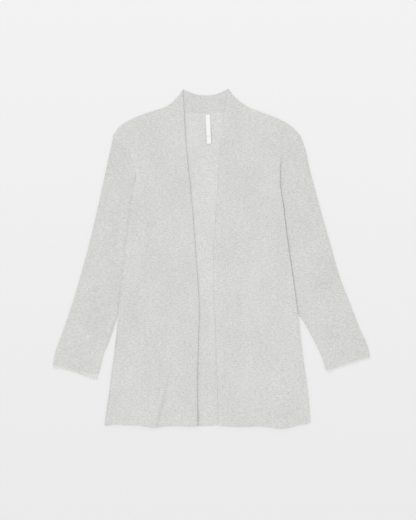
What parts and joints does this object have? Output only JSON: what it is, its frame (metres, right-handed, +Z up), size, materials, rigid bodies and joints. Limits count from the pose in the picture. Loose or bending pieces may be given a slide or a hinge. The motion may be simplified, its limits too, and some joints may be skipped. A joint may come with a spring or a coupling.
{
  "type": "pajama cardigan",
  "caption": "Long open-front rib-knit cardigan with a grown-on stand collar and frilled cuffs, laid flat with its front up.",
  "frame": {"origin": "on the surface that the garment lies on, under the middle of its overall length and width", "axes": "+Z up from the surface, +Y from the hem towards the collar, +X to the viewer's right, which is the wearer's left"},
  "size_m": [0.7318, 0.781, 0.0098],
  "materials": {
    "rib_knit": "light heather grey rib knit, matt with a soft nap",
    "rib_knit_inside": "inside of the light heather grey rib knit, matt",
    "edging": "pale overlocked frill, matt",
    "label_tape": "bare white woven tape, faint sheen"
  },
  "bodies": {
    "root": {"back": "rib_knit_inside", "back_collar": "rib_knit_inside", "right_front": "rib_knit", "left_front": "rib_knit", "right_sleeve": "rib_knit", "left_sleeve": "rib_knit", "right_cuff_edging": "edging", "left_cuff_edging": "edging", "neck_label": "label_tape", "size_tab": "label_tape"}
  },
  "joints": []
}
